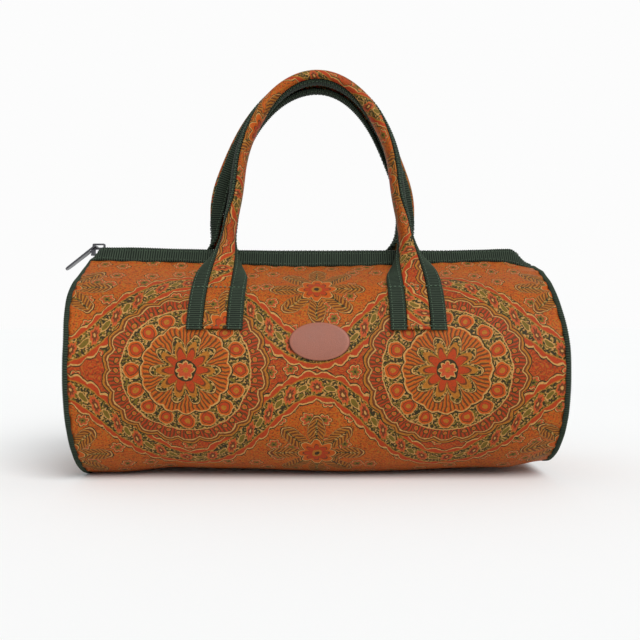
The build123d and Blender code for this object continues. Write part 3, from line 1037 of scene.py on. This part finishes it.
class BAG_OT_zip_bands(bpy.types.Operator):
    """Makes the ribbed bands along both sides of the zip, with two rows of stitches on each"""

    bl_idname = "bag.zip_bands"
    bl_label = "Zip bands"

    def execute(self, context):
        length = 2 * body_half - 0.2
        count, along = rib_steps(length)
        x = np.linspace(-length / 2, length / 2, count)
        top_y, top_z = band_top(x)
        foot_y = seam_y + 0.9 + 0.35 * np.sin(x / 8.3) * np.sin(x / 31)
        foot_z = seam_z - 0.9 - seam_dip(x) + 0.3 * np.sin(x / 8.3 + 0.5)
        out_y, out_z = sin(band_lean), cos(band_lean)
        outer = [(share, 0.28 + 0.92 * min(1, share / 0.12) ** 0.5) for share in np.linspace(0, 0.94, 10)]
        crown = [(1.0, 0.98), (1.025, 0.6), (1.0, 0.2)]
        inner = [(share, 0.0) for share in np.linspace(0.92, 0.02, 5)]
        profile = outer + crown + inner
        rows_of_thread = []
        for side, name in ((-1, "front"), (1, "back")):

            def line(share, lift):
                puff = lift + 0.12 * np.sin(x / 5.7 + 3 * share)
                y = foot_y + (top_y - foot_y) * share + out_y * puff
                z = foot_z + (top_z - foot_z) * share + out_z * puff
                return settle(np.stack([x, side * y, z], axis=-1))

            rows = np.stack([line(share, lift * band_thickness) for share, lift in profile], axis=1)
            piece = tape_piece(f"{name}_zip_band", f"{name}_zip_binding", rows, along)
            for share in (0.17, 0.8):
                rows_of_thread.append((line(share, band_thickness + 0.1), (0, side * out_y, out_z)))
        stitched("zip_band_stitches", rows_of_thread)
        return {"FINISHED"}


class BAG_OT_zip_chain(bpy.types.Operator):
    """Makes the zip's tapes and its two rows of teeth, which part as the slider runs"""

    bl_idname = "bag.zip_chain"
    bl_label = "Zip chain"

    def execute(self, context):
        low, high = ([value / MM for value in corner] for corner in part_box("front_zip_tape"))
        end_gap, skirt = 4.0, 8.2
        steps = np.linspace(low[0], high[0] - end_gap, 60)
        edge, half = zip_mouth / 2, tape_thickness / 2
        outline = [
            (row_width, -half), (row_width - 0.15, 0), (row_width, half),
            (edge - 1.3, half), (edge - 0.5, half - 0.8), (edge + 3.3, -skirt),
            (edge + 2.6, -skirt), (edge - 1.2, -half - 0.7), (edge - 1.7, -half),
        ]
        long, wide, tall = (value * MM for value in tooth_size)
        head_wide, head_reach, head_sink = 0.0024, 0.0011, 0.0002
        foot_wide = wide - head_reach
        for side, name in ((-1, "front"), (1, "back")):
            rows = [[(place, side * y, chain_z + z) for y, z in outline] for place in steps]
            tape = closed_piece(
                f"{name}_zip_cloth", f"{name}_zip_tape", "zip_cloth", zip_cloth_material(), rows, capped=True
            )
            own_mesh(tape)
            row_low, row_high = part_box(f"{name}_zip_teeth")
            row = add_object(f"{name}_zip_row", bpy.data.meshes.new(f"{name}_zip_row"))
            grow(
                row,
                tooth_tree,
                count=round((row_high[0] - row_low[0] - long) / (tooth_pitch * MM)) + 1,
                start=(row_low[0] + long / 2, side * (row_width * MM - foot_wide / 2), chain_z * MM),
                pitch=(tooth_pitch * MM, 0, 0),
                foot=(long * 0.82, foot_wide, tall * 0.86),
                head_place=(0, -side * (foot_wide / 2 - head_sink), 0),
                head_size=(long * 1.25, head_wide, tall),
                material=zip_metal_material(),
            )
            finish_piece(row, "zip_metal", f"{name}_zip_teeth")
            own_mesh(row)
        return {"FINISHED"}


def rounded_copy(node, name, material):
    """A copy of a packed metal solid with its edges rounded."""
    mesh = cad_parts[node].data.copy()
    mesh.name = name
    mesh.materials.clear()
    close_up(mesh, weld, flatten=radians(2), outwards=False)
    piece = add_object(name, mesh, material)
    bevel = piece.modifiers.new("rounding", "BEVEL")
    bevel.width, bevel.segments = settings().fittings.edge_radius, 2
    bevel.limit_method, bevel.angle_limit = "ANGLE", radians(32)
    bevel.harden_normals = True
    mesh.shade_smooth()
    return piece


class BAG_OT_zip_fittings(bpy.types.Operator):
    """Makes the slider with its bail, the puller and the stops"""

    bl_idname = "bag.zip_fittings"
    bl_label = "Slider, puller and stops"

    def execute(self, context):
        moving = {"zip_slider": ("slider_body", "slider"), "pull_tab": ("puller_plate", "puller")}
        for node, (name, body) in moving.items():
            piece = rounded_copy(node, name, slider_metal_material())
            finish_piece(piece, "slider_metal", node, body=body)
        for node in ("zip_top_stops", "zip_bottom_stop"):
            stop = rounded_copy(node, f"{node}_rounded", zip_metal_material())
            for corner in stop.data.vertices:
                corner.co.z = settle(np.array(corner.co) / MM)[2] * MM
            finish_piece(stop, "zip_metal", node)
        return {"FINISHED"}


def unit(vectors):
    """Rows of vectors, each brought to length one."""
    return vectors / np.linalg.norm(vectors, axis=1)[:, None]


class Strap:
    """One handle strap: its middle line, and how it faces and curls along its length."""

    def __init__(self, step, face, half_span, shift, bow, leg_lean, narrow, opening, foot_lean):
        self.face, self.shift, self.bow = face, shift, bow
        self.leg_lean, self.opening, self.foot_lean = leg_lean, opening, foot_lean
        left = self.half(-1, half_span + shift)
        right = self.half(1, half_span - shift)
        line, facing, curl, lean = (
            np.concatenate([rising, falling[-2::-1]]) for rising, falling in zip(left, right)
        )
        lengths = np.concatenate([[0], np.cumsum(np.linalg.norm(np.diff(line, axis=0), axis=1))])
        self.length = lengths[-1]
        self.at = np.linspace(0, self.length, int(round(self.length / step)) + 1)

        def even(values, soft):
            """Values at even steps, smoothed over a soft length."""
            if values.ndim > 1:
                return np.column_stack([even(column, soft) for column in values.T])
            values = np.interp(self.at, lengths, values)
            reach = int(soft / step)
            before = 2 * values[0] - values[reach:0:-1]
            after = 2 * values[-1] - values[-2 : -reach - 2 : -1]
            bell = np.hanning(2 * reach + 3)[1:-1]
            return np.convolve(np.concatenate([before, values, after]), bell / bell.sum(), mode="valid")

        self.line, facing = even(line, 9.0), even(facing, 14.0)
        self.curl = np.clip(even(curl, 8.0), 0, 1)
        self.turned = np.radians(even(lean, 16.0))
        self.narrow = 1 - (1 - narrow) * self.curl
        ahead = unit(np.gradient(self.line, axis=0))
        self.facing = unit(facing - ahead * np.sum(facing * ahead, axis=1)[:, None])
        self.across = np.cross(ahead, self.facing) * -self.face

    def half(self, side, half_span):
        """The strap from one tab to the top of the grip, in millimetres."""
        girth = np.linspace(body_girth.at_height(foot_height), body_girth.at_height(stitch_height), 24)
        if self.face > 0:
            girth = body_girth.length - girth
        tab = bag_surface(side * tab_offset - self.shift, girth, tab_lift)
        tab_out = surface_out(girth)
        foot, top = tab[-1], np.array([side * half_span, self.face * foot_setback, grip_start])
        share = np.linspace(0, 1, 30)[1:-1, None]
        rest = 1 - share
        rise = (top - foot) * 0.9
        top_rise = np.array([0, 0, np.linalg.norm(rise)])
        neck = rest * rest * ((1 + 2 * share) * foot + share * rise)
        neck = neck + share * share * ((3 - 2 * share) * top - rest * top_rise)
        ahead = np.array([0.0, self.face, 0.0])
        turn = np.linspace(0, pi / 2, 90)
        setback = foot_setback + (top_setback - foot_setback) * np.sin(turn)
        height = grip_start + (grip_top - grip_start) * np.sin(turn)
        reach = half_span * np.cos(turn) - self.bow * np.exp(-(((height - grip_start - 28) / 22) ** 2))
        grip = np.column_stack([side * reach, self.face * setback, height])
        out = [tab_out, tab_out[-1] * rest + ahead * share, np.broadcast_to(ahead, grip.shape)]
        level, share = np.zeros(len(tab)), share[:, 0]
        curl = [level, share**self.opening, np.ones(len(grip))]
        crossing = 1 / (1 + np.exp((np.degrees(turn) - 50) / 7))
        start = self.foot_lean + (1 - self.foot_lean) * ease(turn / radians(14))
        grip_lean = -30 + (self.leg_lean * start + 30) * crossing
        lean = [level, self.foot_lean * self.leg_lean * share, grip_lean]
        return [np.concatenate(parts) for parts in ([tab, neck, grip], out, curl, lean)]

    def point(self, place, depth):
        """Points at a distance across the strap and a depth out of its middle layer, and the way out."""
        curve = flat_curve + self.curl * (grip_curve - flat_curve)
        radius, pivot, bend = 1 / curve, self.curl * grip_radius, place * curve
        side = (radius + depth) * np.sin(bend)
        front = (radius + depth) * np.cos(bend) - radius + pivot
        sine, cosine = np.sin(self.turned), np.cos(self.turned)
        reach = (side * cosine + front * sine) * self.narrow
        ahead = (front * cosine - side * sine) / self.narrow**0.5 - pivot
        turn = bend + self.turned
        out = self.across * (np.sin(turn) / self.narrow)[:, None] + self.facing * np.cos(turn)[:, None]
        return self.line + self.across * reach[:, None] + self.facing * ahead[:, None], unit(out)


def strap_ring(start, end, thickness, across):
    """Places across a strip and depths, once round its section, with soft edges."""
    half = thickness / 2
    soft = min(half * 0.7, 0.8)
    outer = [(place, half) for place in np.linspace(start + soft, end - soft, across)]
    inner = [(place, -half) for place in np.linspace(end - soft, start + soft, across // 2 + 2)]
    last = [(end - soft * 0.3, half * 0.7), (end, 0.0), (end - soft * 0.3, -half * 0.7)]
    first = [(start + soft * 0.3, -half * 0.7), (start, 0.0), (start + soft * 0.3, half * 0.7)]
    return outer + last + inner + first


class BAG_OT_handles(bpy.types.Operator):
    """Makes both strap handles: a printed middle, ribbed tape on both edges, and their stitches"""

    bl_idname = "bag.handles"
    bl_label = "Handles"

    def execute(self, context):
        strips = {
            "strap": (-print_half, print_half, print_thickness, 14),
            "inner_binding": (print_half + strap_gap, strap_half, binding_thickness, 8),
            "outer_binding": (-strap_half, -print_half - strap_gap, binding_thickness, 8),
        }
        rows_of_thread = []
        for name, habits in grip_places.items():
            strap = Strap(settings().tape.rib_pitch / MM / 4, **habits)
            for strip, (start, end, thickness, across) in strips.items():
                ring = strap_ring(start, end, thickness, across)
                rows = np.stack([strap.point(place, depth)[0] for place, depth in ring], axis=1)
                node = f"{name}_handle_{strip}"
                if strip == "strap":
                    places = strap_print_down + np.array(ring)[:, 0]
                    uv = np.stack(np.broadcast_arrays(strap.at[:, None], places), axis=-1) * MM
                    cloth = printed_cloth_material()
                    piece = closed_piece(
                        f"{node}_cloth", node, "printed_cloth", cloth, rows, capped=True, uv=uv
                    )
                else:
                    piece = tape_piece(f"{node}_tape", node, rows, strap.at * MM)
                    for place in (start + thread_inset, end - thread_inset):
                        rows_of_thread.append(strap.point(place, thickness / 2 + 0.2))
            rows_of_thread += self.cross_rows(strap)
        stitched("handle_stitches", rows_of_thread)
        return {"FINISHED"}

    def cross_rows(self, strap):
        """Rows of stitches across both tabs, at the foot and where the strap leaves the bag."""
        rows = []
        tab_length = body_girth.at_height(foot_height) - body_girth.at_height(stitch_height)
        reach, lift = strap_half - thread_inset, binding_thickness / 2 + 0.25
        for distance in (1.6, tab_length - 1.0, tab_length - 1.6):
            for place in (distance, strap.length - distance):
                step = int(np.argmin(np.abs(strap.at - place)))
                spots = [strap.point(across, lift) for across in np.linspace(-reach, reach, 30)]
                rows.append([np.array([part[step] for part in parts]) for parts in zip(*spots)])
        return rows


class BAG_OT_leather_patch(bpy.types.Operator):
    """Makes the oval leather patch with its rounded edge, left bare"""

    bl_idname = "bag.leather_patch"
    bl_label = "Leather patch"

    def execute(self, context):
        turn = np.linspace(0, 2 * pi, 97)[:-1]
        # Share of the oval's size, height over the cloth, and the rim's painted light: painted shade below
        # zero, painted highlight above
        profile = [
            (0.0, 0.15, 0.0), (0.5, 0.15, 0.0), (0.97, 0.15, -1.0), (1.0, 0.4, -1.0), (1.0, 1.05, -1.0),
            (0.992, 1.4, -0.8), (0.975, 1.68, -0.1), (0.95, 1.86, 1.0), (0.915, 1.97, 0.8), (0.87, 2.02, 0.0),
            (0.8, 2.04, 0.0), (0.6, 2.06, 0.0), (0.35, 2.08, 0.0), (0.15, 2.08, 0.0), (0.0, 2.08, 0.0),
        ]
        rows = []
        for share, lift, _ in profile:
            x = patch_middle[0] + patch_half[0] * share * np.cos(turn)
            z = patch_middle[1] + patch_half[1] * share * np.sin(turn)
            rows.append(bag_surface(x, body_girth.at_height(z), lift))
        # The rim mark carries the painted highlight and the painted shade of the patch's edge
        marks = {"rim": np.array(profile)[:, 2:]}
        leather = patch_leather_material()
        closed_piece("oval_patch", "leather_patch", "patch_leather", leather, rows, weld, marks=marks)
        return {"FINISHED"}


class BAG_OT_stage(bpy.types.Operator):
    """Makes the white floor, the soft light and the camera of the photograph"""

    bl_idname = "bag.stage"
    bl_label = "Stage"

    def execute(self, context):
        stage = settings().stage
        scene = context.scene
        scene.view_settings.view_transform = "Standard"
        floor = add_object("floor", bpy.data.meshes.new("floor"), floor_white())
        reach = 9.0
        corners = [(-reach, -reach, 0), (reach, -reach, 0), (reach, reach, 0), (-reach, reach, 0)]
        floor.data.from_pydata(corners, [], [(0, 1, 2, 3)])
        sun = bpy.data.lights.new("key", "SUN")
        sun.energy, sun.angle = stage.key, radians(38)
        shine = Vector((-0.40, 0.74, -0.72))
        link("key", sun).rotation_euler = shine.to_track_quat("-Z", "Y").to_euler()
        scene.world = self.white_world(stage.fill)
        lens = bpy.data.cameras.new("eye")
        lens.lens, lens.sensor_width = stage.lens, 36.0
        eye = link("eye", lens)
        eye.location = stage.eye
        eye.rotation_euler = (pi / 2, 0, 0)
        scene.camera = eye
        return {"FINISHED"}

    def white_world(self, fill):
        """White to the eye and in reflections, and a plain fill light elsewhere."""
        world = bpy.data.worlds.new("white_world")
        world.use_nodes = True
        nodes = Nodes(world.node_tree)
        ray = nodes.add("ShaderNodeLightPath").outputs
        seen = Term(nodes, ray["Is Camera Ray"]) + ray["Is Glossy Ray"] + ray["Is Transmission Ray"]
        seen = nodes.maths("MINIMUM", seen, 1.0)
        ground = world.node_tree.nodes["Background"].inputs
        ground["Color"].default_value = (1.0, 1.0, 1.0, 1.0)
        backdrop = 0.974
        nodes.feed(ground["Strength"], fill + seen * (backdrop - fill))
        return world


class BAG_PT_pieces(bpy.types.Panel):
    """Lists the bag's pieces and settings"""

    bl_idname = "BAG_PT_pieces"
    bl_label = "Boston bag"
    bl_space_type = "VIEW_3D"
    bl_region_type = "UI"
    bl_category = "Bag"

    def draw(self, context):
        for group in (settings().cloth, settings().tape, settings().fittings, settings().stage):
            box = self.layout.box()
            for name in group.__annotations__:
                box.prop(group, name)
        for operator in operators:
            self.layout.operator(operator.bl_idname)


operators = (
    BAG_OT_body_cloth,
    BAG_OT_end_cloths,
    BAG_OT_end_tapes,
    BAG_OT_zip_bands,
    BAG_OT_zip_chain,
    BAG_OT_zip_fittings,
    BAG_OT_handles,
    BAG_OT_leather_patch,
    BAG_OT_stage,
)
groups = (ClothSettings, TapeSettings, FittingSettings, StageSettings, BagSettings)


def register():
    for kind in (*groups, *operators, BAG_PT_pieces):
        bpy.utils.register_class(kind)
    bpy.types.Scene.boston_bag = PointerProperty(type=BagSettings)


def unregister():
    del bpy.types.Scene.boston_bag
    for kind in reversed((*groups, *operators, BAG_PT_pieces)):
        bpy.utils.unregister_class(kind)


def main():
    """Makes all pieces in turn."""
    register()
    for operator in operators:
        group, name = operator.bl_idname.split(".")
        getattr(getattr(bpy.ops, group), name)()


if __name__ == "__main__":
    main()
